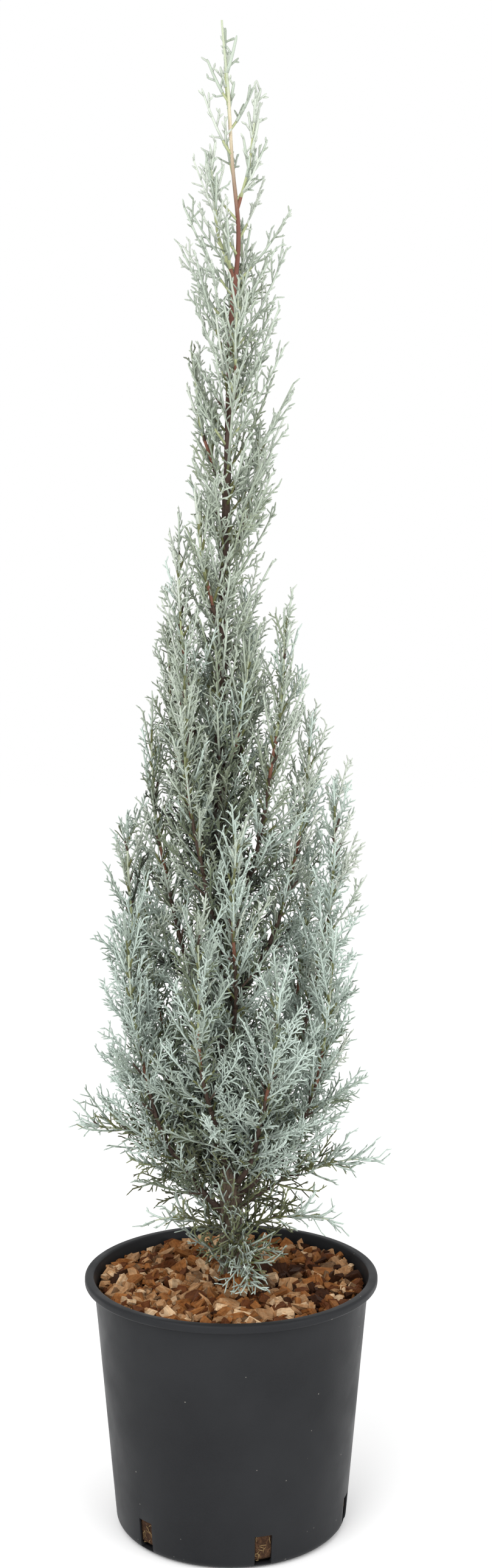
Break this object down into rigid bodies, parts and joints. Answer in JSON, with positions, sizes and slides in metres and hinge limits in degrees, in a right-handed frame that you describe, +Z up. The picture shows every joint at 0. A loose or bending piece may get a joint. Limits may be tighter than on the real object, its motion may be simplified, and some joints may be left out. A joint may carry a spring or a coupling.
{
  "type": "potted conifer tree",
  "caption": "Young columnar Arizona cypress with blue-grey scale-leaf sprays, bark-mulched in a round black nursery pot.",
  "frame": {"origin": "centre of the pot's flat underside", "axes": "+Z up along the trunk, -Y to the front of the plant, +X to its right"},
  "size_m": [0.3079, 0.3098, 1.502],
  "materials": {
    "pot": "charcoal moulded plastic, satin",
    "soil": "moist fibrous potting mix",
    "mulch": "rough wood chips",
    "bark": "thin red-brown bark",
    "foliage": "waxy blue-grey scale leaves"
  },
  "bodies": {
    "root": {"bough_lower_1": "bark", "bough_lower_2": "bark", "bough_lower_3": "bark", "bough_lower_4": "bark", "bough_lower_5": "bark", "bough_lower_6": "bark", "bough_lower_7": "bark", "bough_lower_8": "bark", "bough_lower_9": "bark", "bough_middle_1": "bark", "bough_middle_2": "bark", "bough_middle_3": "bark", "bough_middle_4": "bark", "bough_middle_5": "bark", "bough_middle_6": "bark", "bough_middle_7": "bark", "bough_middle_8": "bark", "bough_middle_9": "bark", "bough_skirt_1": "bark", "bough_skirt_2": "bark", "foliage_lower_1": "foliage", "foliage_lower_2": "foliage", "foliage_lower_3": "foliage", "foliage_lower_4": "foliage", "foliage_lower_5": "foliage", "foliage_lower_6": "foliage", "foliage_lower_7": "foliage", "foliage_lower_8": "foliage", "foliage_lower_9": "foliage", "foliage_middle_1": "foliage", "foliage_middle_2": "foliage", "foliage_middle_3": "foliage", "foliage_middle_4": "foliage", "foliage_middle_5": "foliage", "foliage_middle_6": "foliage", "foliage_middle_7": "foliage", "foliage_middle_8": "foliage", "foliage_middle_9": "foliage", "foliage_skirt_1": "foliage", "foliage_skirt_2": "foliage", "foliage_skirt_3": "foliage", "foliage_skirt_4": "foliage", "foliage_skirt_5": "foliage", "foliage_skirt_6": "foliage", "foliage_skirt_7": "foliage", "foliage_upper_1": "foliage", "foliage_upper_10": "foliage", "foliage_upper_2": "foliage", "foliage_upper_3": "foliage", "foliage_upper_4": "foliage", "foliage_upper_5": "foliage", "foliage_upper_6": "foliage", "foliage_upper_7": "foliage", "foliage_upper_8": "foliage", "foliage_upper_9": "foliage", "mulch": "mulch", "pot": "pot", "soil": "soil", "trunk": "bark"}
  },
  "joints": []
}
